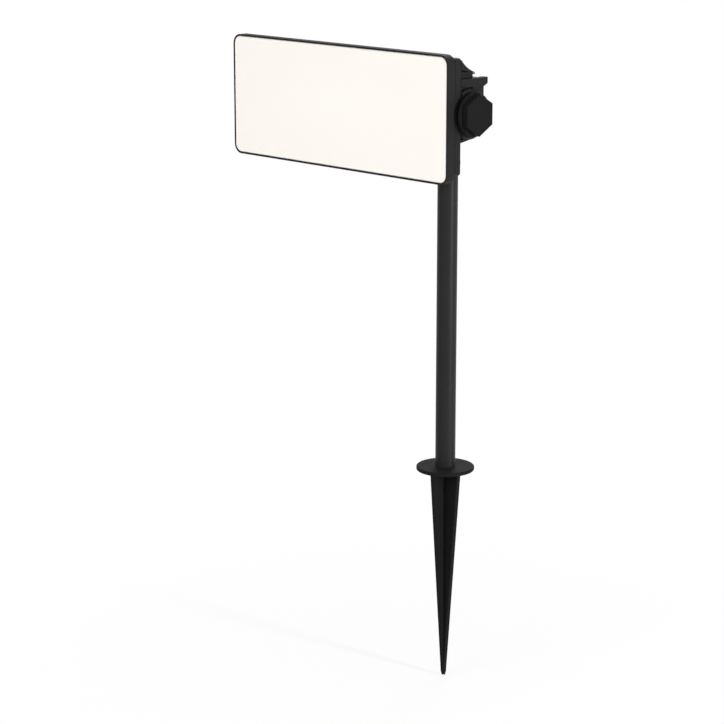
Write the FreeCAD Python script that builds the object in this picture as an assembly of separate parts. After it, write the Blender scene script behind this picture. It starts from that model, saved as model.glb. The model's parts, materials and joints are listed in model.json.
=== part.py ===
import FreeCAD, Part
import math
import os
from FreeCAD import Vector

# Garden spike spotlight. Millimetres, +Z up, the lamp faces -Y. The origin is on the pole's axis,
# at the level of the ground under the spike's flange.

RIGHT = Vector(1, 0, 0)
BACK = Vector(0, 1, 0)
UP = Vector(0, 0, 1)
FRONT = BACK * -1
DOWN = UP * -1

# --- Driving dimensions ---------------------------------------------------------------------

# ground spike
flange_radius = 26.0
flange_thickness = 3.5
flange_chamfer = 0.6
spike_depth = 196.5
blade_span = 34.4
blade_tip_span = 3.0
blade_point = 3.5
blade_thickness = 4.0
spigot_length = 36.0
spigot_wall = 2.4
spigot_clearance = 0.08

# pole
pole_radius = 9.0
pole_wall = 1.5
axis_height = 322.0  # tilt axis above the ground

# knuckle on the pole
barrel_radius = 9.8
collar_radius = 10.0
collar_height = 5.0
collar_drop = 33.0  # collar's underside below the tilt axis
neck_drop = 5.0  # top of the neck below the tilt axis
neck_width = 31.0
neck_depth = 19.0
knuckle_plug_length = 30.0
pole_screw_drop = 12.0  # screw below the pole's top

# lamp head, an upright rounded slab
head_width = 277.0
head_height = 111.2
head_drop = 3.7  # middle of the head below the tilt axis
corner_radius = 9.0
frame_depth = 9.4
cover_depth = 7.3
cover_height = 100.9
cover_drop = 1.8  # middle of the cover below the tilt axis
cover_corner = 3.2
axis_to_cover = 11.2
seam_chamfer = 0.35

# frame, diffuser and light chamber
rim_width = 1.5
rim_chamfer = 0.4
diffuser_thickness = 3.0
diffuser_inset = 0.15
diffuser_clearance = 0.2
diffuser_bevel = 0.7
gasket_thickness = 0.6
gasket_width = 3.0
seal_wall = 6.4  # width of the cover's wall, which the gasket and the screws sit in
seal_inset = 4.9  # from the cover's outline to the gasket
seal_width = 1.2
seal_depth = 1.0
screw_core_depth = 5.0
board_margin = 1.0
board_thickness = 1.2
pad_thickness = 0.5
pad_margin = 1.0
tray_thickness = 0.6
tray_gap = 0.3
tray_slope = 3.0
led_size = 3.0
led_height = 0.7
led_columns = 8
led_rows = 3
led_pitch_x = 32.0
led_pitch_z = 28.0
led_window = 4.4

# rear cover
cover_floor = 3.4
cover_chamfer = 0.5
screw_inset_x = 10.8
screw_inset_z = 3.5
fin_thickness = 1.8
fin_height = 5.0
fin_pitch = 8.0
fin_length = 82.0
fin_slope = 7.0
fins_gap = 7.0  # between the driver compartment and the first fin
fins_end_gap = 18.0  # between the last fin and the head's left end
fins_yoke_gap = 4.0  # between the last fin and the hinge yoke

# driver compartment
box_to_yoke = 36.4
box_width = 96.0
box_height = 56.0
box_rise = 4.0  # middle of the compartment above the tilt axis
box_depth = 19.5
box_wall = 2.5
box_corner = 6.0
box_draft = 1.0
lid_thickness = 3.4
lid_chamfer = 1.2
lid_boss_radius = 3.4
lid_boss_inset = 5.6
board_side_gap = 7.5  # from the driver board to the compartment's side walls
board_end_gap = 4.5  # from the driver board to the compartment's other walls, less its rise
driver_board_rise = 2.0
driver_board_thickness = 1.6
standoff_height = 3.0
standoff_radius = 2.6
standoff_inset = 3.6
bobbin_width = 15.4
bobbin_height = 11.9
bobbin_rise = 1.5
transformer_size = Vector(22.0, 11.0, 18.0)
transformer_place = (18.0, 14.0)  # from the driver board's left and upper edges
capacitor_radius = 5.0
capacitor_height = 13.0
capacitor_chamfer = 0.6
capacitor_place = (24.0, 9.0)  # from its right and upper edges
terminal_size = Vector(16.0, 10.0, 9.0)
terminal_rise = 7.0  # from its lower edge
terminal_port_radius = 2.0
terminal_pitch = 8.0
connector_width = 12.0
connector_height = 5.0
connector_place = (11.0, 13.0)  # from its right and lower edges
connector_clearance = 0.3

# cable gland under the compartment
gland_flats = 15.0
gland_thread_radius = 6.0
gland_bore_radius = 3.4
gland_hex_height = 4.0
gland_tail = 8.0
gland_seat_radius = 4.8
locknut_height = 3.0
gland_thread_end = 1.0  # thread beyond the locknut
seal_length = 8.0
gland_nut_height = 13.0
gland_nut_dome = 4.0
thread_clearance = 0.05

# hinge yoke on the cover's back
hinge_half_width = 25.8  # outer faces of the ears, level with the head's right side
ear_thickness = 6.0
web_thickness = 2.6
boss_radius = 21.9
boss_raise = 1.7
boss_bevel = 1.1
base_half_width = 22.0
base_top = 38.0
base_bottom = 22.0
base_thickness = 2.2
base_recess = 1.2
base_clearance = 0.1
lug_top = 30.4
lug_bottom = 25.2
lug_reach = 21.6
neck_front = 4.0
neck_reach = 17.5
lug_heel = 22.9
lug_root = 24.4
neck_step = 0.8
roof_thickness = 3.0
roof_reach = 14.0
fin_plate_root = 35.2  # underside of the sloping fin plate at the cover
fin_plate_tip = 33.9
fin_plate_thickness = 1.4
fin_plate_reach = 6.2
gusset_top = 46.9
gusset_mid = (-5.0, 40.9)
gusset_end = (5.2, 35.9)
gusset_bottom = 38.7
gusset_rib_end = -0.5
foot_drop = 24.1  # lower rib's underside at the cover, below the tilt axis
foot_thickness = 2.4
head_boss_extra = 2.5  # left boss, deeper for the bolt's head
yoke_screw_x = 15.6
yoke_screw_up = 19.0
yoke_screw_down = 16.0
yoke_pad_radius = 4.4
yoke_pad_height = 2.4

# pivot bolt and bushes
bolt_radius = 4.0
bolt_head_flats = 13.0
bolt_head_height = 5.3
bolt_end_chamfer = 0.8
pivot_clearance = 0.06
head_pocket_clearance = 0.15
bush_wall = 1.6
bush_length = 9.0
bush_flange_radius = 9.2
bush_flange_thickness = 1.0
bush_press_clearance = 0.02
ear_running_gap = 0.2

# clamp knob
washer_radius = 9.0
washer_thickness = 0.9
running_gap = 0.1
hub_radius = 13.0
hub_length = 1.8
skirt_radius = 19.7
skirt_front_radius = 18.9
skirt_thickness = 1.7
knob_flats = 31.6
knob_thickness = 5.8
knob_chamfer = 0.7
knob_bore_depth = 8.0
insert_radius = 6.2
insert_length = 7.4
insert_flange_radius = 8.0
insert_flange_thickness = 1.0
insert_clearance = 0.03
bolt_end_gap = 1.2  # bolt's end short of the bottom of the knob's bore

# fasteners: head radius, head height, shank radius, key across flats
m3_head_radius = 2.8
m3_head_height = 1.6
m3_radius = 1.2
m3_key = 2.0
m3_hole_radius = 1.7
m4_head_radius = 3.8
m4_head_height = 2.1
m4_radius = 1.9
m4_key = 2.5
m5_head_radius = 4.4
m5_head_height = 2.2
m5_radius = 2.3
m5_key = 3.0
counterbore_gap = 0.3
screw_end_gap = 0.2
socket_share = 0.6  # depth of a screw's socket over the height of its head
thread_gap = 0.05

# --- Derived places -------------------------------------------------------------------------

cover_back = -axis_to_cover
seam_y = cover_back - cover_depth
head_front = seam_y - frame_depth
head_x = hinge_half_width - head_width / 2
head_z = axis_height - head_drop
cover_z = axis_height - cover_drop
floor_y = cover_back - cover_floor
seat_y = head_front + diffuser_inset + diffuser_thickness
ledge_y = seat_y + gasket_thickness
pad_y = floor_y - pad_thickness
board_y = pad_y - board_thickness
tray_y = board_y - tray_thickness

pole_top = axis_height - collar_drop
pole_bore = pole_radius - pole_wall
plug_radius = pole_bore - spigot_clearance

ear_inner = hinge_half_width - ear_thickness
barrel_half = ear_inner - ear_running_gap - bush_flange_thickness
bush_bore = bolt_radius + pivot_clearance
bush_outer = bush_bore + bush_wall
base_front = cover_back - base_recess
base_back = base_front + base_thickness

head_left = head_x - head_width / 2
yoke_left = -(hinge_half_width + head_boss_extra)
box_right = yoke_left - box_to_yoke
box_x = box_right - box_width / 2
driver_board_width = box_width - 2 * (box_wall + board_side_gap)
driver_board_height = box_height - 2 * (box_wall + board_end_gap)
box_z = axis_height + box_rise
box_top_y = cover_back + box_depth
lid_y = box_top_y + gasket_thickness
driver_y = cover_back + standoff_height
parts_y = driver_y + driver_board_thickness
gland_y = cover_back + box_depth / 2
gland_top = box_z - box_height / 2
gland_hex_bottom = gland_top - gland_hex_height
gland_tail_bottom = gland_hex_bottom - gland_tail

washer_x = hinge_half_width + boss_raise + running_gap
knob_x = washer_x + washer_thickness + running_gap
skirt_x = knob_x + hub_length
grip_x = skirt_x + skirt_thickness
knob_face = grip_x + knob_thickness
bolt_head_x = yoke_left
bolt_end = knob_x + knob_bore_depth - bolt_end_gap


# --- Shapes ---------------------------------------------------------------------------------

def axis_point(x, y, z):
    """A point placed from the tilt axis above the pole."""
    return Vector(x, y, axis_height + z)


def head_point(x, y, z):
    """A point placed from the middle of the head, at depth y."""
    return Vector(head_x + x, y, head_z + z)


def cover_point(x, y, z):
    """A point placed from the middle of the rear cover, at depth y."""
    return Vector(head_x + x, y, cover_z + z)


def box_point(x, y, z):
    """A point placed from the middle of the driver compartment, at depth y."""
    return Vector(box_x + x, y, box_z + z)


def fuse_all(shapes):
    """One solid from overlapping or touching shapes."""
    whole = shapes[0].fuse(shapes[1:])
    return whole.removeSplitter()


def cylinder(radius, length, base, direction):
    return Part.makeCylinder(radius, length, base, direction)


def tube(outer, inner, length, base, direction):
    return cylinder(outer, length, base, direction).cut(cylinder(inner, length, base, direction))


def cone(radius_from, radius_to, length, base, direction):
    return Part.makeCone(radius_from, radius_to, length, base, direction)


def block(width, depth, height, centre_front):
    """A box whose front face is centred on a point."""
    corner = centre_front - Vector(width / 2, 0, height / 2)
    return Part.makeBox(width, depth, height, corner)


def hex_prism(flats, length, base, direction, vertex):
    """A hexagonal bar along a direction, with one corner towards vertex."""
    side = direction.cross(vertex)
    reach = flats / math.sqrt(3)
    corners = []
    for step in range(6):
        turn = math.radians(60 * step)
        corners.append(base + vertex * (reach * math.cos(turn)) + side * (reach * math.sin(turn)))
    outline = Part.makePolygon(corners + corners[:1])
    return Part.Face(outline).extrude(direction * length)


def rounded_wire(centre, width, height, radius):
    """A rounded rectangle in a plane of constant Y."""
    quarters = []
    for quarter, (side_x, side_z) in enumerate([(1, 1), (-1, 1), (-1, -1), (1, -1)]):
        pivot = centre + Vector(side_x * (width / 2 - radius), 0, side_z * (height / 2 - radius))
        points = []
        for step in (0, 45, 90):
            turn = math.radians(90 * quarter + step)
            points.append(pivot + Vector(radius * math.cos(turn), 0, radius * math.sin(turn)))
        quarters.append(points)
    edges = []
    for index, points in enumerate(quarters):
        following = quarters[(index + 1) % len(quarters)]
        edges.append(Part.Arc(*points).toShape())
        edges.append(Part.LineSegment(points[-1], following[0]).toShape())
    return Part.Wire(edges)


def rounded_slab(centre, width, height, radius, depth):
    return Part.Face(rounded_wire(centre, width, height, radius)).extrude(BACK * depth)


def head_slab(y, depth, inset):
    """A slab of the frame's outline, drawn in by inset all round."""
    size = 2 * inset
    radius = max(corner_radius - inset, 1.0)
    return rounded_slab(head_point(0, y, 0), head_width - size, head_height - size, radius, depth)


def cover_wire(y, inset):
    """The rear cover's outline, drawn in by inset all round."""
    size = 2 * inset
    radius = max(cover_corner - inset, 1.5)
    return rounded_wire(cover_point(0, y, 0), head_width - size, cover_height - size, radius)


def cover_slab(y, depth, inset):
    return Part.Face(cover_wire(y, inset)).extrude(BACK * depth)


def edges_at(shape, y):
    """Edges of a shape that lie wholly in the plane Y = y."""
    found = []
    for edge in shape.Edges:
        box = edge.BoundBox
        if abs(box.YMin - y) < 1e-6 and abs(box.YMax - y) < 1e-6:
            found.append(edge)
    return found


def side_plate(outline, x_from, x_to):
    """A plate from edges drawn in the plane X = 0, between two X positions."""
    face = Part.Face(Part.Wire(Part.sortEdges(outline)[0]))
    face.translate(RIGHT * min(x_from, x_to))
    return face.extrude(RIGHT * abs(x_to - x_from))


def polyline(places):
    """Straight edges through (y, z) places from the tilt axis."""
    points = [axis_point(0, y, z) for y, z in places]
    return [Part.LineSegment(a, b).toShape() for a, b in zip(points, points[1:])]


def socket_cap(seat, inward, vertex, head, height, shank, length, key):
    """A cheese-headed screw with a hexagon socket; seat is the centre under its head."""
    top = seat - inward * height
    body = fuse_all([cylinder(head, height, top, inward), cylinder(shank, length, seat, inward)])
    return body.cut(hex_prism(key, height * socket_share, top, inward, vertex))


def countersunk(top, inward, vertex, head, height, shank, length, key):
    """A countersunk screw with a hexagon socket; top is the centre of its flat face."""
    body = fuse_all([cone(head, shank, height, top, inward), cylinder(shank, length, top, inward)])
    return body.cut(hex_prism(key, height * socket_share, top, inward, vertex))


def m3_screw(seat, length):
    return socket_cap(seat, FRONT, UP, m3_head_radius, m3_head_height, m3_radius, length, m3_key)


# --- Stand ----------------------------------------------------------------------------------

def make_spike():
    flange = cylinder(flange_radius, flange_thickness, Vector(0, 0, 0), UP)
    flange = flange.makeChamfer(flange_chamfer, flange.Edges[:1] + flange.Edges[2:3])
    point_top = blade_point - spike_depth
    half = blade_span / 2
    tip = blade_tip_span / 2
    corners = [(-half, 0), (half, 0), (tip, point_top), (0, -spike_depth), (-tip, point_top)]
    outline = [Vector(x, -blade_thickness / 2, z) for x, z in corners]
    blade = Part.Face(Part.makePolygon(outline + outline[:1])).extrude(BACK * blade_thickness)
    crossing = blade.copy()
    crossing.rotate(Vector(0, 0, 0), UP, 90)
    spigot = tube(plug_radius, plug_radius - spigot_wall, spigot_length,
                  Vector(0, 0, flange_thickness), UP)
    return fuse_all([flange, blade, crossing, spigot])


def make_pole_tube():
    length = pole_top - flange_thickness
    pole = tube(pole_radius, pole_bore, length, Vector(0, 0, flange_thickness), UP)
    screw_hole = cylinder(m5_radius + thread_gap, pole_radius, pole_screw_point(), BACK)
    return pole.cut(screw_hole)


def pole_screw_point():
    return Vector(0, 0, pole_top - pole_screw_drop)


def make_pole_screw():
    seat = pole_screw_point() + BACK * pole_radius
    length = pole_radius - 1
    return socket_cap(seat, FRONT, UP, m5_head_radius, m5_head_height, m5_radius, length, m5_key)


def make_knuckle():
    barrel = cylinder(barrel_radius, 2 * barrel_half, axis_point(-barrel_half, 0, 0), RIGHT)
    collar = cylinder(collar_radius, collar_height, Vector(0, 0, pole_top), UP)
    neck_base = Vector(0, 0, pole_top + collar_height)
    neck_height = axis_height - neck_drop - neck_base.z
    flare = cone(collar_radius, neck_width / 2, neck_height, neck_base, UP)
    cheeks = block(neck_width, neck_depth, neck_height,
                   neck_base + Vector(0, -neck_depth / 2, neck_height / 2))
    neck = flare.common(cheeks)
    plug = cylinder(plug_radius, knuckle_plug_length, Vector(0, 0, pole_top), DOWN)
    bore = cylinder(bush_outer + bush_press_clearance, 2 * barrel_half,
                    axis_point(-barrel_half, 0, 0), RIGHT)
    screw_hole = cylinder(m5_radius + thread_gap, pole_radius, pole_screw_point(), BACK)
    return fuse_all([barrel, collar, neck, plug]).cut([bore, screw_hole])


def make_knuckle_bushes():
    bushes = []
    for side in (-1, 1):
        seat = axis_point(side * barrel_half, 0, 0)
        sleeve = cylinder(bush_outer, bush_length, seat, RIGHT * -side)
        flange = cylinder(bush_flange_radius, bush_flange_thickness, seat, RIGHT * side)
        bore = cylinder(bush_bore, 2 * bush_length, seat - RIGHT * bush_length, RIGHT)
        bushes.append(fuse_all([sleeve, flange]).cut(bore))
    return Part.makeCompound(bushes)


# --- Lamp head ------------------------------------------------------------------------------

def cover_screw_places():
    """Where the cover is screwed to the frame, from the middle of the cover."""
    reach_x = head_width / 2 - screw_inset_x
    reach_z = cover_height / 2 - screw_inset_z
    return [(x, z) for z in (-reach_z, reach_z) for x in (-reach_x, 0, reach_x)]


def seal_ring(y, depth):
    """A ring along the cover gasket's line."""
    return cover_slab(y, depth, seal_inset).cut(cover_slab(y, depth, seal_inset + seal_width))


def make_front_frame():
    body = head_slab(head_front, frame_depth, 0)
    body = body.makeChamfer(rim_chamfer, edges_at(body, head_front))
    body = body.makeChamfer(seam_chamfer, edges_at(body, seam_y))
    cuts = [head_slab(head_front, ledge_y - head_front, rim_width)]
    cuts.append(cover_slab(head_front, frame_depth, seal_wall))
    cuts.append(seal_ring(seam_y - seal_depth, seal_depth))
    for x, z in cover_screw_places():
        core = m3_radius + thread_gap
        cuts.append(cylinder(core, screw_core_depth, cover_point(x, seam_y, z), FRONT))
    return body.cut(cuts)


def make_diffuser():
    plate = head_slab(head_front + diffuser_inset, diffuser_thickness, rim_width + diffuser_clearance)
    return plate.makeChamfer(diffuser_bevel, edges_at(plate, head_front + diffuser_inset))


def make_diffuser_gasket():
    inset = rim_width + diffuser_clearance
    inner = head_slab(seat_y, gasket_thickness, inset + gasket_width)
    return head_slab(seat_y, gasket_thickness, inset).cut(inner)


def make_cover_gasket():
    return seal_ring(seam_y - seal_depth, seal_depth)


def make_led_board():
    return cover_slab(board_y, board_thickness, seal_wall + board_margin)


def make_thermal_pad():
    return cover_slab(pad_y, pad_thickness, seal_wall + board_margin + pad_margin)


def led_places():
    """The LED grid, from the middle of the cover."""
    columns = [(index - (led_columns - 1) / 2) * led_pitch_x for index in range(led_columns)]
    rows = [(index - (led_rows - 1) / 2) * led_pitch_z for index in range(led_rows)]
    return [(x, z) for x in columns for z in rows]


def make_leds():
    leds = []
    for x, z in led_places():
        leds.append(block(led_size, led_height, led_size, cover_point(x, board_y - led_height, z)))
    return Part.makeCompound(leds)


def tray_form(floor, wall):
    """The tray's flaring form, from the ledge back to its floor; wall draws it in all round."""
    mouth = cover_wire(seat_y, seal_wall + tray_gap + wall)
    bottom = cover_wire(floor, seal_wall + tray_gap + wall + tray_slope)
    return Part.makeLoft([bottom, mouth], True, True)


def make_reflector_tray():
    inset = rim_width + diffuser_clearance + gasket_width + tray_gap
    flange = head_slab(seat_y, gasket_thickness, inset)
    tray = fuse_all([tray_form(board_y, 0), flange]).cut(tray_form(tray_y, tray_thickness))
    windows = []
    for x, z in led_places():
        windows.append(block(led_window, tray_thickness, led_window, cover_point(x, tray_y, z)))
    return tray.cut(windows)


def make_fin(x):
    """A cooling fin with sloping ends."""
    half = fin_length / 2
    corners = [(cover_back, -half), (cover_back + fin_height, -half + fin_slope),
               (cover_back + fin_height, half - fin_slope), (cover_back, half)]
    outline = [Vector(x - fin_thickness / 2, y, cover_z + z) for y, z in corners]
    return Part.Face(Part.makePolygon(outline + outline[:1])).extrude(RIGHT * fin_thickness)


def fin_row(first, limit):
    """Positions of fins from the first one towards a limit that the last one stays clear of."""
    step = math.copysign(fin_pitch, limit - first)
    count = int((abs(limit - first) - fin_thickness / 2) // fin_pitch) + 1
    return [first + index * step for index in range(count)]


def fin_places():
    left = fin_row(box_right - box_width - fins_gap, head_left + fins_end_gap)
    right = fin_row(box_right + fins_gap, yoke_left - fins_yoke_gap)
    return left + right


def lid_screw_places():
    """Lid screws, from the middle of the driver compartment."""
    reach_x = box_width / 2 - lid_boss_inset
    reach_z = box_height / 2 - lid_boss_inset
    return [(x, z) for x in (-reach_x, reach_x) for z in (-reach_z, reach_z)]


def board_place(side_x, side_z, place):
    """A place given from one corner of the driver board, from the middle of the compartment."""
    x = side_x * (driver_board_width / 2 - place[0])
    z = driver_board_rise + side_z * (driver_board_height / 2 - place[1])
    return x, z


def driver_screw_places():
    """Driver board screws, from the middle of the driver compartment."""
    reach_x = driver_board_width / 2 - standoff_inset
    reach_z = driver_board_height / 2 - standoff_inset
    return [(x, driver_board_rise + z) for x in (-reach_x, reach_x) for z in (-reach_z, reach_z)]


def yoke_screw_places():
    """Yoke screws, from the tilt axis above the pole."""
    return [(x, z) for x in (-yoke_screw_x, yoke_screw_x) for z in (-yoke_screw_down, yoke_screw_up)]


def make_driver_box():
    """The compartment's drafted walls, with bosses for the lid's screws."""
    foot = rounded_wire(box_point(0, cover_back, 0), box_width + 2 * box_draft,
                        box_height + 2 * box_draft, box_corner + box_draft)
    brim = rounded_wire(box_point(0, box_top_y, 0), box_width, box_height, box_corner)
    outer = Part.makeLoft([foot, brim], True, True)
    inner = rounded_slab(box_point(0, cover_back, 0), box_width - 2 * box_wall,
                         box_height - 2 * box_wall, box_corner - box_wall, box_depth)
    walls = outer.cut(inner)
    bosses = []
    cores = []
    for x, z in lid_screw_places():
        bosses.append(cylinder(lid_boss_radius, box_depth, box_point(x, cover_back, z), BACK))
        cores.append(cylinder(m3_radius + thread_gap, box_depth, box_point(x, cover_back, z), BACK))
    return fuse_all([walls] + bosses).cut(cores)


def make_rear_cover():
    slab = cover_slab(seam_y, cover_depth, 0)
    slab = slab.makeChamfer(cover_chamfer, edges_at(slab, cover_back))
    slab = slab.makeChamfer(seam_chamfer, edges_at(slab, seam_y))
    shell = slab.cut(cover_slab(seam_y, floor_y - seam_y, seal_wall))
    added = [make_driver_box()] + [make_fin(x) for x in fin_places()]
    cuts = []
    for x, z in driver_screw_places():
        added.append(cylinder(standoff_radius, standoff_height, box_point(x, cover_back, z), BACK))
        cuts.append(cylinder(m3_radius + thread_gap, standoff_height, box_point(x, cover_back, z), BACK))
    for x, z in cover_screw_places():
        cuts.append(cylinder(m3_hole_radius, cover_depth, cover_point(x, seam_y, z), BACK))
        seat = cover_point(x, cover_back - m3_head_height, z)
        cuts.append(cylinder(m3_head_radius + counterbore_gap, m3_head_height, seat, BACK))
    for x, z in yoke_screw_places():
        cuts.append(cylinder(m4_radius + thread_gap, cover_floor, axis_point(x, floor_y, z), BACK))
        cuts.append(cone(m4_head_radius + thread_gap, m4_radius + thread_gap, m4_head_height,
                         axis_point(x, floor_y, z), BACK))
    base_height = base_top + base_bottom + 2 * base_clearance
    base_middle = axis_point(0, base_front, (base_top - base_bottom) / 2)
    cuts.append(block(2 * (base_half_width + base_clearance), base_recess, base_height, base_middle))
    connector_x, connector_z = board_place(1, -1, connector_place)
    cuts.append(block(connector_width + 2 * connector_clearance, cover_floor,
                      connector_height + 2 * connector_clearance,
                      box_point(connector_x, floor_y, connector_z)))
    cuts.append(cylinder(gland_thread_radius + thread_clearance, box_wall + box_draft,
                         Vector(box_x, gland_y, gland_top - box_draft), UP))
    cuts.append(block(2 * gland_thread_radius + gland_flats, box_depth, box_draft,
                      Vector(box_x, cover_back, gland_top - box_draft / 2)))
    return fuse_all([shell] + added).cut(cuts)


def make_cover_screws():
    screws = []
    for x, z in cover_screw_places():
        seat = cover_point(x, cover_back - m3_head_height, z)
        screws.append(m3_screw(seat, seat.y - seam_y + screw_core_depth - screw_end_gap))
    return Part.makeCompound(screws)


# --- Hinge yoke -----------------------------------------------------------------------------

def gusset_edges():
    """The concave upper contour of an ear, from the cover to the gusset's end."""
    points = [axis_point(0, y, z) for y, z in [(cover_back, gusset_top), gusset_mid, gusset_end]]
    return [Part.Arc(*points).toShape()]


def foot_tangent():
    """Where a line from the ear's foot at the cover touches the underside of the boss, as (y, z)."""
    reach = math.hypot(cover_back, foot_drop)
    turn = math.atan2(-foot_drop, cover_back) + math.acos(boss_radius / reach)
    return boss_radius * math.cos(turn), boss_radius * math.sin(turn)


def fin_plate_section(front):
    """The sloping fin plate in side view, from a plane Y = front back to its tip."""
    slope = (fin_plate_tip - fin_plate_root) / (fin_plate_reach - cover_back)
    root = fin_plate_root + slope * (front - cover_back)
    return [(front, root), (fin_plate_reach, fin_plate_tip),
            (fin_plate_reach, fin_plate_tip + fin_plate_thickness), (front, root + fin_plate_thickness),
            (front, root)]


def behind_cover(shape):
    """What is left of a shape behind the cover's back face."""
    room = Part.makeBox(2 * head_width, head_height, 2 * head_height,
                        axis_point(-head_width, cover_back, -head_height))
    return shape.common(room)


def make_ear(side):
    """One ribbed ear; side is 1 for the right ear and -1 for the left one."""
    def plate(outline, depth):
        return side_plate(outline, side * ear_inner, side * (ear_inner + depth))

    foot_y, foot_z = foot_tangent()
    foot_start = (cover_back, -foot_drop)
    upper = gusset_edges() + polyline([gusset_end, (fin_plate_reach, fin_plate_tip),
                                       (fin_plate_reach, lug_bottom), (cover_back, lug_bottom),
                                       (cover_back, gusset_top)])
    middle = polyline([(cover_back, lug_bottom), (neck_reach, lug_bottom), (neck_reach, 0), (0, 0),
                       (foot_y, foot_z), foot_start, (cover_back, lug_bottom)])
    gusset = gusset_edges() + polyline([gusset_end, (gusset_rib_end, gusset_end[1]),
                                        (cover_back, gusset_bottom), (cover_back, gusset_top)])
    fin = polyline(fin_plate_section(cover_back))
    lug = polyline([(cover_back, lug_top), (lug_reach, lug_top), (lug_reach, lug_bottom),
                    (neck_reach, lug_heel), (neck_front, lug_heel), (cover_back, lug_root),
                    (cover_back, lug_top)])
    neck = polyline([(neck_front, lug_heel), (neck_reach, lug_heel), (neck_reach, 0), (neck_front, 0),
                     (neck_front, lug_heel)])
    rib = polyline([foot_start, (foot_y, foot_z), (foot_y, foot_z + foot_thickness),
                    (cover_back, foot_thickness - foot_drop), foot_start])
    pieces = [plate(upper, web_thickness), plate(middle, web_thickness)]
    pieces += [plate(gusset, ear_thickness), plate(fin, ear_thickness - neck_step)]
    pieces += [plate(lug, ear_thickness), plate(neck, ear_thickness - neck_step)]
    pieces += [plate(rib, ear_thickness - neck_step)]
    raised = boss_raise if side > 0 else head_boss_extra
    face = axis_point(side * hinge_half_width, 0, 0)
    boss = cylinder(boss_radius, ear_thickness, axis_point(side * ear_inner, 0, 0), RIGHT * side)
    crown = cone(boss_radius, boss_radius - boss_bevel, raised, face, RIGHT * side)
    return pieces + [behind_cover(fuse_all([boss, crown]))]


def make_hinge_yoke():
    base_height = base_top + base_bottom
    base = block(2 * base_half_width, base_thickness, base_height,
                 axis_point(0, base_front, (base_top - base_bottom) / 2))
    width = 2 * ear_inner
    roof = block(width, roof_reach - base_front, roof_thickness,
                 axis_point(0, base_front, lug_top - roof_thickness / 2))
    fin_plate = side_plate(polyline(fin_plate_section(base_front)), -ear_inner, ear_inner)
    pieces = [base, roof, fin_plate] + make_ear(1) + make_ear(-1)
    cores = []
    for x, z in yoke_screw_places():
        pieces.append(cylinder(yoke_pad_radius, yoke_pad_height, axis_point(x, base_back, z), BACK))
        cores.append(cylinder(m4_radius + thread_gap, base_thickness + yoke_pad_height / 2,
                              axis_point(x, base_front, z), BACK))
    bore_length = hinge_half_width + boss_raise - bolt_head_x
    bore = cylinder(bolt_radius + pivot_clearance, bore_length, axis_point(bolt_head_x, 0, 0), RIGHT)
    head_pocket = hex_prism(bolt_head_flats + 2 * head_pocket_clearance, bolt_head_height,
                            axis_point(bolt_head_x, 0, 0), RIGHT, UP)
    return fuse_all(pieces).cut(cores + [bore, head_pocket])


def make_yoke_screws():
    screws = []
    length = base_front + base_thickness + yoke_pad_height / 2 - floor_y - screw_end_gap
    for x, z in yoke_screw_places():
        screws.append(countersunk(axis_point(x, floor_y, z), BACK, UP, m4_head_radius, m4_head_height,
                                  m4_radius, length, m4_key))
    return Part.makeCompound(screws)


def make_pivot_bolt():
    head = hex_prism(bolt_head_flats, bolt_head_height, axis_point(bolt_head_x, 0, 0), RIGHT, UP)
    shank_length = bolt_end - bolt_head_x - bolt_end_chamfer
    shank = cylinder(bolt_radius, shank_length, axis_point(bolt_head_x, 0, 0), RIGHT)
    point = cone(bolt_radius, bolt_radius - bolt_end_chamfer, bolt_end_chamfer,
                 axis_point(bolt_head_x + shank_length, 0, 0), RIGHT)
    return fuse_all([head, shank, point])


# --- Driver compartment ---------------------------------------------------------------------

def make_driver_board():
    board = block(driver_board_width, driver_board_thickness, driver_board_height,
                  box_point(0, driver_y, driver_board_rise))
    holes = []
    for x, z in driver_screw_places():
        holes.append(cylinder(m3_hole_radius, driver_board_thickness, box_point(x, driver_y, z), BACK))
    return board.cut(holes)


def make_driver_board_screws():
    screws = []
    for x, z in driver_screw_places():
        length = driver_board_thickness + standoff_height - screw_end_gap
        screws.append(m3_screw(box_point(x, parts_y, z), length))
    return Part.makeCompound(screws)


def make_transformer():
    x, z = board_place(-1, 1, transformer_place)
    size = transformer_size
    core = block(size.x, size.y, size.z, box_point(x, parts_y, z))
    bobbin = block(bobbin_width, size.y + bobbin_rise, bobbin_height, box_point(x, parts_y, z))
    return fuse_all([core, bobbin])


def make_capacitor():
    x, z = board_place(1, 1, capacitor_place)
    can = cylinder(capacitor_radius, capacitor_height, box_point(x, parts_y, z), BACK)
    return can.makeChamfer(capacitor_chamfer, edges_at(can, parts_y + capacitor_height))


def make_terminal_block():
    x, z = board_place(1, -1, (driver_board_width / 2, terminal_rise))
    size = terminal_size
    body = block(size.x, size.y, size.z, box_point(x, parts_y, z))
    cuts = []
    for side in (-1, 1):
        port = box_point(x + side * terminal_pitch / 2, parts_y + size.y / 2, z - size.z / 2)
        cuts.append(cylinder(terminal_port_radius, size.z / 2, port, UP))
        cuts.append(cylinder(terminal_port_radius, size.y / 2, port + UP * (size.z / 2), BACK))
    return body.cut(cuts)


def make_board_connector():
    x, z = board_place(1, -1, connector_place)
    return block(connector_width, driver_y - floor_y, connector_height, box_point(x, floor_y, z))


def make_driver_lid():
    lid = rounded_slab(box_point(0, lid_y, 0), box_width, box_height, box_corner, lid_thickness)
    lid = lid.makeChamfer(lid_chamfer, edges_at(lid, lid_y + lid_thickness))
    cuts = []
    for x, z in lid_screw_places():
        cuts.append(cylinder(m3_hole_radius, lid_thickness, box_point(x, lid_y, z), BACK))
        seat = box_point(x, lid_y + lid_thickness - m3_head_height, z)
        cuts.append(cylinder(m3_head_radius + counterbore_gap, m3_head_height, seat, BACK))
    return lid.cut(cuts)


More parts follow.
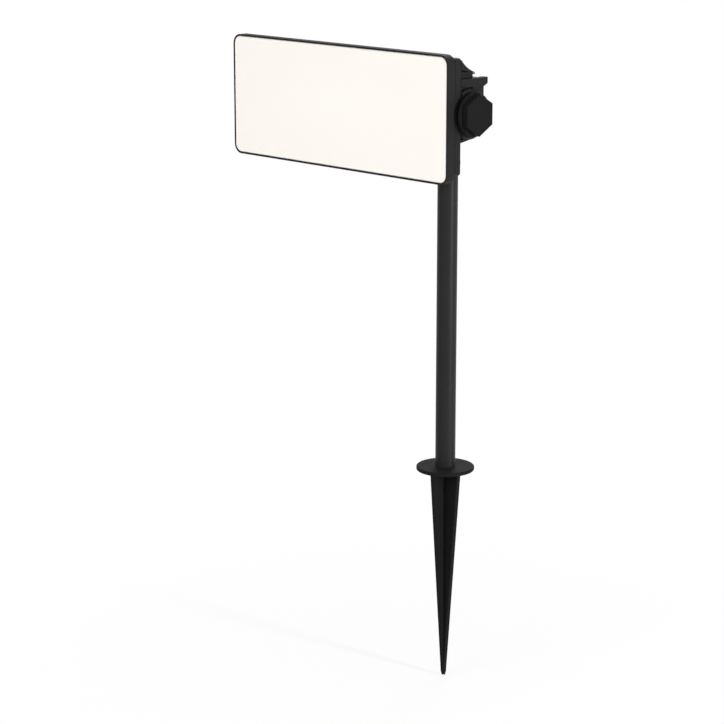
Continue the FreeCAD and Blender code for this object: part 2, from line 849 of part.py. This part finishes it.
def make_lid_gasket():
    outer = rounded_slab(box_point(0, box_top_y, 0), box_width, box_height, box_corner,
                         gasket_thickness)
    inner = rounded_slab(box_point(0, box_top_y, 0), box_width - 2 * box_wall,
                         box_height - 2 * box_wall, box_corner - box_wall, gasket_thickness)
    return outer.cut(inner)


def make_lid_screws():
    screws = []
    for x, z in lid_screw_places():
        seat = box_point(x, lid_y + lid_thickness - m3_head_height, z)
        screws.append(m3_screw(seat, seat.y - cover_back - box_depth / 2))
    return Part.makeCompound(screws)


# --- Cable gland ----------------------------------------------------------------------------

def gland_point(z):
    return Vector(box_x, gland_y, z)


def make_gland_body():
    inner_length = box_wall + locknut_height + gland_thread_end
    thread = cylinder(gland_thread_radius, inner_length, gland_point(gland_top), UP)
    collar = hex_prism(gland_flats, gland_hex_height, gland_point(gland_top), DOWN, RIGHT)
    tail = cylinder(gland_thread_radius, gland_tail, gland_point(gland_hex_bottom), DOWN)
    bore = cylinder(gland_bore_radius, inner_length + gland_hex_height + gland_tail,
                    gland_point(gland_tail_bottom), UP)
    seat = cylinder(gland_seat_radius, seal_length, gland_point(gland_tail_bottom), UP)
    return fuse_all([thread, collar, tail]).cut([bore, seat])


def make_gland_locknut():
    base = gland_point(gland_top + box_wall)
    nut = hex_prism(gland_flats, locknut_height, base, UP, RIGHT)
    return nut.cut(cylinder(gland_thread_radius + thread_clearance, locknut_height, base, UP))


def make_gland_seal():
    return tube(gland_seat_radius - thread_clearance, gland_bore_radius, seal_length,
                gland_point(gland_tail_bottom), UP)


def make_gland_nut():
    top = gland_hex_bottom - running_gap
    bar = hex_prism(gland_flats, gland_nut_height, gland_point(top), DOWN, RIGHT)
    reach = gland_flats / math.sqrt(3)
    straight = gland_nut_height - gland_nut_dome
    form = fuse_all([cylinder(reach, straight, gland_point(top), DOWN),
                     cone(reach, gland_seat_radius, gland_nut_dome, gland_point(top - straight), DOWN)])
    nut = bar.common(form)
    socket = cylinder(gland_thread_radius + thread_clearance, top - gland_tail_bottom,
                      gland_point(gland_tail_bottom), UP)
    mouth = cylinder(gland_bore_radius, gland_nut_height, gland_point(top), DOWN)
    return nut.cut([socket, mouth])


# --- Clamp knob -----------------------------------------------------------------------------

def make_thrust_washer():
    return tube(washer_radius, bush_bore, washer_thickness, axis_point(washer_x, 0, 0), RIGHT)


def make_hex_knob():
    hub = cylinder(hub_radius, hub_length, axis_point(knob_x, 0, 0), RIGHT)
    skirt = cone(skirt_radius, skirt_front_radius, skirt_thickness, axis_point(skirt_x, 0, 0), RIGHT)
    grip = hex_prism(knob_flats, knob_thickness, axis_point(grip_x, 0, 0), RIGHT, UP)
    rim = [edge for edge in grip.Edges if abs(edge.BoundBox.XMin - knob_face) < 1e-6]
    grip = grip.makeChamfer(knob_chamfer, rim)
    bore = cylinder(insert_radius + insert_clearance, knob_bore_depth, axis_point(knob_x, 0, 0), RIGHT)
    recess = cylinder(insert_flange_radius + insert_clearance, insert_flange_thickness,
                      axis_point(knob_x, 0, 0), RIGHT)
    return fuse_all([hub, skirt, grip]).cut([bore, recess])


def make_knob_insert():
    sleeve = cylinder(insert_radius, insert_length, axis_point(knob_x, 0, 0), RIGHT)
    flange = cylinder(insert_flange_radius, insert_flange_thickness, axis_point(knob_x, 0, 0), RIGHT)
    bore = cylinder(bush_bore, insert_length, axis_point(knob_x, 0, 0), RIGHT)
    return fuse_all([sleeve, flange]).cut(bore)


# --- Export ---------------------------------------------------------------------------------

PIECES = {
    "spike": make_spike,
    "pole_tube": make_pole_tube,
    "pole_screw": make_pole_screw,
    "knuckle": make_knuckle,
    "knuckle_bushes": make_knuckle_bushes,
    "front_frame": make_front_frame,
    "diffuser": make_diffuser,
    "diffuser_gasket": make_diffuser_gasket,
    "reflector_tray": make_reflector_tray,
    "led_board": make_led_board,
    "leds": make_leds,
    "thermal_pad": make_thermal_pad,
    "rear_cover": make_rear_cover,
    "cover_gasket": make_cover_gasket,
    "cover_screws": make_cover_screws,
    "hinge_yoke": make_hinge_yoke,
    "yoke_screws": make_yoke_screws,
    "pivot_bolt": make_pivot_bolt,
    "driver_board": make_driver_board,
    "driver_board_screws": make_driver_board_screws,
    "transformer": make_transformer,
    "capacitor": make_capacitor,
    "terminal_block": make_terminal_block,
    "board_connector": make_board_connector,
    "driver_lid": make_driver_lid,
    "lid_gasket": make_lid_gasket,
    "lid_screws": make_lid_screws,
    "gland_body": make_gland_body,
    "gland_locknut": make_gland_locknut,
    "gland_seal": make_gland_seal,
    "gland_nut": make_gland_nut,
    "thrust_washer": make_thrust_washer,
    "hex_knob": make_hex_knob,
    "knob_insert": make_knob_insert,
}

os.makedirs("parts", exist_ok=True)
for node, make in PIECES.items():
    shape = make()
    print(node, "solids", len(shape.Solids), "valid", shape.isValid(), "mm3", round(shape.Volume))
    shape.exportStep(os.path.join("parts", node + ".step"))
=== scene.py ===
import json
import math

import bpy
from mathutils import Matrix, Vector


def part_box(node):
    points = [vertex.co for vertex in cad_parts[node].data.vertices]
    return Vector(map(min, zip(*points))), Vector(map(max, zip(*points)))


# Garden spike spotlight, dressed over its solids. Metres, +Z up; the lamp faces -Y, and the clamp
# knob is on its right, at +X.

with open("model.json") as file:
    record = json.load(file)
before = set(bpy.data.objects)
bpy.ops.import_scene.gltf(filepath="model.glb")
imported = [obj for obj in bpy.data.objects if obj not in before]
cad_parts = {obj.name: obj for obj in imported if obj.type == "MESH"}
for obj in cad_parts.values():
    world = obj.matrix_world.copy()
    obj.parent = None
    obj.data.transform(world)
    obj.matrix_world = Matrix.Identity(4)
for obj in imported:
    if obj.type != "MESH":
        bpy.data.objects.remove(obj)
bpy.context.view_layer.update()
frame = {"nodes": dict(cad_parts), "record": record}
nodes = frame["nodes"]

GROUND = -0.1975  # height of the floor, a millimetre under the spike's tip

NOISE_LOW = 0.3  # a noise seldom leaves this range, so ramps and spreads run over it
NOISE_HIGH = 0.7

# --- Material building -----------------------------------------------------------------------


class Build:
    """A node material around one Principled shader, in real metres."""

    def __init__(self, name):
        self.material = bpy.data.materials.new(name)
        self.material.use_nodes = True
        self.tree = self.material.node_tree
        self.tree.nodes.clear()
        self.output = self.node("ShaderNodeOutputMaterial")
        self.shader = self.node("ShaderNodeBsdfPrincipled")
        self.link(self.shader, "BSDF", self.output, "Surface")
        self.coords = self.node("ShaderNodeTexCoord")

    def node(self, kind, **values):
        made = self.tree.nodes.new(kind)
        for key, value in values.items():
            setattr(made, key, value)
        return made

    def link(self, source, out, target, into):
        self.tree.links.new(source.outputs[out], target.inputs[into])

    def place(self, scale=(1, 1, 1)):
        """Object coordinates in metres, stretched by scale."""
        mapping = self.node("ShaderNodeMapping")
        mapping.inputs["Scale"].default_value = scale
        self.link(self.coords, "Object", mapping, "Vector")
        return mapping

    def noise(self, scale, detail=3.0, roughness=0.55, stretch=(1, 1, 1)):
        """Soft noise; scale is in waves a metre."""
        made = self.node("ShaderNodeTexNoise")
        made.inputs["Scale"].default_value = scale
        made.inputs["Detail"].default_value = detail
        made.inputs["Roughness"].default_value = roughness
        self.link(self.place(stretch), "Vector", made, "Vector")
        return made

    def cells(self, scale):
        made = self.node("ShaderNodeTexVoronoi", feature="F1")
        made.inputs["Scale"].default_value = scale
        self.link(self.place(), "Vector", made, "Vector")
        return made

    def ramp(self, source, out, stops):
        """A colour ramp; stops are (position, colour)."""
        made = self.node("ShaderNodeValToRGB")
        for element, (position, colour) in zip(made.color_ramp.elements, stops):
            element.position = position
            element.color = (*colour, 1)
        self.link(source, out, made, "Fac")
        return made

    def spread(self, source, out, low, high, start=NOISE_LOW, end=NOISE_HIGH):
        """Maps the range from start to end to the range from low to high."""
        made = self.node("ShaderNodeMapRange")
        made.inputs["From Min"].default_value = start
        made.inputs["From Max"].default_value = end
        made.inputs["To Min"].default_value = low
        made.inputs["To Max"].default_value = high
        self.link(source, out, made, "Value")
        return made

    def bump(self, source, out, distance, strength, under=None):
        """Relief, distance metres high; under is another relief below it."""
        made = self.node("ShaderNodeBump")
        made.inputs["Strength"].default_value = strength
        made.inputs["Distance"].default_value = distance
        self.link(source, out, made, "Height")
        if under:
            self.link(under, "Normal", made, "Normal")
        return made

    def colour(self, source):
        self.link(source, "Color", self.shader, "Base Color")

    def rough(self, source):
        self.link(source, "Result", self.shader, "Roughness")

    def normal(self, source):
        self.link(source, "Normal", self.shader, "Normal")

    def sets(self, **values):
        for key, value in values.items():
            self.shader.inputs[key.replace("_", " ")].default_value = value


def shades(colour, low, high):
    """Ramp stops for a noise, from a darker to a lighter shade of one colour."""
    return [
        (NOISE_LOW, tuple(channel * low for channel in colour)),
        (NOISE_HIGH, tuple(channel * high for channel in colour)),
    ]


def coated(name, colour, grain, relief, roughness, specular, patch):
    """Powder coat or moulded skin: a fine orange-peel grain over slow patches of tone."""
    patch_scale = 14
    grain_share = 0.35  # of the fine grain in the tone
    gloss_change = 0.05
    pit_scale = grain * 1.6
    made = Build(name)
    slow = made.noise(patch_scale, 2)
    fine = made.noise(grain, 4, 0.6)
    tone = made.node("ShaderNodeMix", data_type="FLOAT")
    tone.inputs["Factor"].default_value = grain_share
    made.link(slow, "Fac", tone, "A")
    made.link(fine, "Fac", tone, "B")
    made.colour(made.ramp(tone, "Result", shades(colour, 1 - patch, 1 + patch)))
    made.rough(made.spread(fine, "Fac", roughness - gloss_change, roughness + gloss_change))
    pits = made.bump(made.cells(pit_scale), "Distance", relief, 0.5)
    made.normal(made.bump(fine, "Fac", relief, 0.8, under=pits))
    made.sets(Specular_IOR_Level=specular)
    return made.material


def metal(name, colour, roughness, stretch):
    """Turned or drawn metal: fine lines along one direction."""
    line_scale = 900
    line_relief = 0.00001
    patch_scale = 30
    made = Build(name)
    lines = made.noise(line_scale, 3, 0.6, stretch)
    slow = made.noise(patch_scale, 2)
    made.colour(made.ramp(slow, "Fac", shades(colour, 0.85, 1.1)))
    made.rough(made.spread(lines, "Fac", roughness - 0.08, roughness + 0.1))
    made.normal(made.bump(lines, "Fac", line_relief, 0.6))
    made.sets(Metallic=1.0)
    return made.material


def opal(name):
    """Opal plate: warm white with a satin face, and a painted glow that makes it a touch whiter
    in the middle.
    """
    # painted glow: the plate's colour is whiter in its middle than at its edge
    glow_middle_white = (0.985, 0.947, 0.894)
    edge_white = (0.978, 0.937, 0.878)
    cloud_scale = 22
    cloud_drift = 0.12  # of the half width, by which the edge of the painted glow is blurred
    frost_scale = 2400
    frost_relief = 0.00001
    made = Build(name)
    low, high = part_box("diffuser")
    offset = made.node("ShaderNodeVectorMath", operation="SUBTRACT")
    made.link(made.coords, "Object", offset, 0)
    offset.inputs[1].default_value = (low + high) / 2
    squeeze = made.node("ShaderNodeVectorMath", operation="MULTIPLY")
    made.link(offset, 0, squeeze, 0)
    squeeze.inputs[1].default_value = (2 / (high.x - low.x), 0, 2 / (high.z - low.z))
    reach = made.node("ShaderNodeVectorMath", operation="LENGTH")
    made.link(squeeze, 0, reach, 0)
    drift = made.spread(made.noise(cloud_scale, 2), "Fac", -cloud_drift, cloud_drift)
    total = made.node("ShaderNodeMath", operation="ADD")
    made.link(reach, "Value", total, 0)
    made.link(drift, "Result", total, 1)
    # painted glow: the colour runs from the whiter middle out to the edge colour
    made.colour(made.ramp(total, "Value", [(0.1, glow_middle_white), (0.9, edge_white)]))
    frost = made.noise(frost_scale, 3, 0.6)
    made.rough(made.spread(frost, "Fac", 0.5, 0.62))
    made.normal(made.bump(frost, "Fac", frost_relief, 0.5))
    made.sets(Specular_IOR_Level=0.3)
    return made.material


def circuit(name):
    """Solder mask over copper tracks and pads."""
    mask_scale = 700
    track_relief = 0.00003
    made = Build(name)
    tracks = made.node("ShaderNodeTexBrick")
    made.link(made.place(), "Vector", tracks, "Vector")
    tracks.inputs["Scale"].default_value = 120
    tracks.inputs["Mortar Size"].default_value = 0.06
    tracks.inputs["Color1"].default_value = (0.012, 0.10, 0.04, 1)
    tracks.inputs["Color2"].default_value = (0.015, 0.12, 0.05, 1)
    tracks.inputs["Mortar"].default_value = (0.03, 0.17, 0.07, 1)
    made.colour(tracks)
    made.rough(made.spread(made.noise(mask_scale, 3), "Fac", 0.3, 0.42))
    made.normal(made.bump(tracks, "Fac", track_relief, 0.6))
    return made.material


# --- Materials, one for each slot of the record ----------------------------------------------

# colour, grain in waves a metre, relief in metres, roughness, specular level, change of tone
COATS = {
    "body_paint": ((0.0130, 0.0130, 0.0133), 1100, 0.00010, 0.50, 0.06, 0.20),
    "pole_paint": ((0.0160, 0.0160, 0.0164), 1300, 0.00006, 0.36, 0.08, 0.20),
    "spike_plastic": ((0.0082, 0.0082, 0.0084), 900, 0.00010, 0.58, 0.04, 0.20),
    "knob_plastic": ((0.0085, 0.0085, 0.0087), 1500, 0.00008, 0.55, 0.03, 0.20),
    "gland_plastic": ((0.0100, 0.0100, 0.0104), 1300, 0.00003, 0.45, 0.25, 0.12),
    "seal_rubber": ((0.0120, 0.0120, 0.0120), 1700, 0.00003, 0.75, 0.15, 0.12),
    "pad_rubber": ((0.210, 0.210, 0.225), 1700, 0.00003, 0.80, 0.20, 0.12),
    "white_plastic": ((0.78, 0.78, 0.76), 1500, 0.00002, 0.40, 0.40, 0.03),
    "board_metal": ((0.72, 0.73, 0.73), 1500, 0.00002, 0.35, 0.50, 0.03),
    "led_phosphor": ((0.78, 0.52, 0.06), 3000, 0.00002, 0.35, 0.50, 0.08),
    "winding_plastic": ((0.020, 0.018, 0.015), 1500, 0.00003, 0.35, 0.50, 0.12),
    "terminal_plastic": ((0.69, 0.69, 0.60), 1500, 0.00002, 0.38, 0.50, 0.05),
    "bush_plastic": ((0.52, 0.51, 0.45), 1500, 0.00002, 0.40, 0.45, 0.05),
}

# colour, roughness, stretch of the lines along each axis
METALS = {
    "fastener_steel": ((0.055, 0.055, 0.060), 0.38, (1, 6, 6)),
    "insert_brass": ((0.60, 0.38, 0.12), 0.28, (6, 1, 1)),
    "can_metal": ((0.18, 0.20, 0.28), 0.35, (1, 6, 1)),
}

materials = {name: coated(name, *values) for name, values in COATS.items()}
materials.update({name: metal(name, *values) for name, values in METALS.items()})
materials["opal_plastic"] = opal("opal_plastic")
materials["circuit_board"] = circuit("circuit_board")

for part in frame["record"]["subparts"]:
    piece = nodes[part["node"]]
    piece.data.materials.clear()
    piece.data.materials.append(materials[part["material_slot"]])
    for polygon in piece.data.polygons:
        polygon.material_index = 0

# --- Soft edges on castings and mouldings ----------------------------------------------------

WELD_REACH = 0.000002
SHARP_ANGLE = math.radians(32)

# width of the rounding, in metres
EDGES = {
    "front_frame": 0.00018,
    "rear_cover": 0.00030,
    "driver_lid": 0.00030,
    "hinge_yoke": 0.00045,
    "knuckle": 0.00040,
    "spike": 0.00040,
    "hex_knob": 0.00035,
    "gland_nut": 0.00030,
    "gland_body": 0.00020,
    "pivot_bolt": 0.00020,
}


def soften(piece, width):
    """Rounds a piece's sharp edges, as its mould or casting would."""
    weld = piece.modifiers.new("weld", "WELD")
    weld.merge_threshold = WELD_REACH
    bevel = piece.modifiers.new("edges", "BEVEL")
    bevel.width = width
    bevel.segments = 2
    bevel.limit_method = "ANGLE"
    bevel.angle_limit = SHARP_ANGLE
    bevel.use_clamp_overlap = True
    weighted = piece.modifiers.new("normals", "WEIGHTED_NORMAL")
    weighted.keep_sharp = False
    weighted.weight = 60


for name, width in EDGES.items():
    soften(nodes[name], width)

# --- Floor and world -------------------------------------------------------------------------

FLOOR_REACH = 30.0  # half of the floor's side
AMBIENT = 0.42
WHITE = 1.0

# share of plain white in the floor as it is seen, at these distances from the pole's axis
NEAR_SHARE = 0.80
NEAR_REACH = 0.05
FAR_SHARE = 1.0
FAR_REACH = 0.45


def seen_rays(tree):
    """An output that is 1 for camera, glossy and transmission rays, and 0 for the rest."""
    rays = tree.nodes.new("ShaderNodeLightPath")
    seen = rays.outputs["Is Camera Ray"]
    for kind in ("Is Glossy Ray", "Is Transmission Ray"):
        either = tree.nodes.new("ShaderNodeMath")
        either.operation = "MAXIMUM"
        tree.links.new(seen, either.inputs[0])
        tree.links.new(rays.outputs[kind], either.inputs[1])
        seen = either.outputs[0]
    return seen


def floor():
    """A plain pale floor, which melts into the white background away from the object."""
    reach = FLOOR_REACH
    mesh = bpy.data.meshes.new("floor")
    corners = [(-reach, -reach), (reach, -reach), (reach, reach), (-reach, reach)]
    mesh.from_pydata([(x, y, GROUND) for x, y in corners], [], [(0, 1, 2, 3)])
    piece = bpy.data.objects.new("floor", mesh)
    bpy.context.scene.collection.objects.link(piece)
    made = Build("floor_paper")
    grain = made.noise(300, 3)
    stops = [(NOISE_LOW, (0.86, 0.86, 0.86)), (NOISE_HIGH, (0.88, 0.88, 0.88))]
    made.colour(made.ramp(grain, "Fac", stops))
    made.rough(made.spread(grain, "Fac", 0.85, 0.95))
    made.sets(Specular_IOR_Level=0.1)
    glow = made.node("ShaderNodeEmission")
    glow.inputs["Strength"].default_value = WHITE
    away = made.node("ShaderNodeVectorMath", operation="LENGTH")
    made.link(made.place((1, 1, 0)), "Vector", away, 0)
    share = made.spread(away, "Value", NEAR_SHARE, FAR_SHARE, NEAR_REACH, FAR_REACH)
    factor = made.node("ShaderNodeMath", operation="MULTIPLY")
    made.link(share, "Result", factor, 0)
    made.tree.links.new(seen_rays(made.tree), factor.inputs[1])
    mix = made.node("ShaderNodeMixShader")
    made.link(factor, 0, mix, 0)
    made.link(made.shader, "BSDF", mix, 1)
    made.link(glow, "Emission", mix, 2)
    made.link(mix, 0, made.output, "Surface")
    mesh.materials.append(made.material)


def surroundings():
    """Even ambient light, and plain white where the background is seen or mirrored."""
    world = bpy.data.worlds.new("studio")
    bpy.context.scene.world = world
    world.use_nodes = True
    tree = world.node_tree
    tree.nodes.clear()
    output = tree.nodes.new("ShaderNodeOutputWorld")
    mix = tree.nodes.new("ShaderNodeMixShader")
    tree.links.new(seen_rays(tree), mix.inputs[0])
    for into, strength in ((1, AMBIENT), (2, WHITE)):
        light = tree.nodes.new("ShaderNodeBackground")
        light.inputs["Color"].default_value = (1, 1, 1, 1)
        light.inputs["Strength"].default_value = strength
        tree.links.new(light.outputs[0], mix.inputs[into])
    tree.links.new(mix.outputs[0], output.inputs["Surface"])


# --- Lights and camera -----------------------------------------------------------------------

LIGHT_TARGET = Vector((0, 0, 0.15))  # the middle of the pole

# azimuth and elevation in degrees, distance, width and height in metres, power in watts;
# azimuth 0 is in front of the object and 90 on its right
SOFTBOXES = {
    "front": (0, 22, 1.9, 1.1, 1.2, 15.2),
    "strip": (98, 0, 1.5, 0.10, 1.6, 33),
    "top": (60, 78, 1.7, 1.4, 1.4, 5.2),
    "rear": (205, 35, 1.9, 1.0, 1.0, 11),
}

CAMERA_PLACE = (1.3455, -1.4023, 0.5724)
CAMERA_TURN = math.radians(46.02)
CAMERA_FALL = math.radians(13.70)
CAMERA_LENS = 111.9
CAMERA_SENSOR = 36.0


def softbox(name, azimuth, elevation, distance, width, height, power):
    """An area light that faces the target."""
    turn = math.radians(azimuth)
    rise = math.radians(elevation)
    level = math.cos(rise)
    toward = Vector((math.sin(turn) * level, -math.cos(turn) * level, math.sin(rise)))
    data = bpy.data.lights.new(name, "AREA")
    data.shape = "RECTANGLE"
    data.size = width
    data.size_y = height
    data.energy = power
    light = bpy.data.objects.new(name, data)
    light.location = LIGHT_TARGET + toward * distance
    light.rotation_euler = toward.to_track_quat("Z", "Y").to_euler()
    bpy.context.scene.collection.objects.link(light)


def camera():
    """The photograph's viewpoint, in line with no shift."""
    data = bpy.data.cameras.new("view")
    data.sensor_width = CAMERA_SENSOR
    data.lens = CAMERA_LENS
    view = bpy.data.objects.new("view", data)
    view.location = CAMERA_PLACE
    view.rotation_euler = (math.pi / 2 - CAMERA_FALL, 0, CAMERA_TURN)
    bpy.context.scene.collection.objects.link(view)
    bpy.context.scene.camera = view


floor()
surroundings()
for name, values in SOFTBOXES.items():
    softbox(name, *values)
camera()
bpy.context.scene.view_settings.view_transform = "Standard"
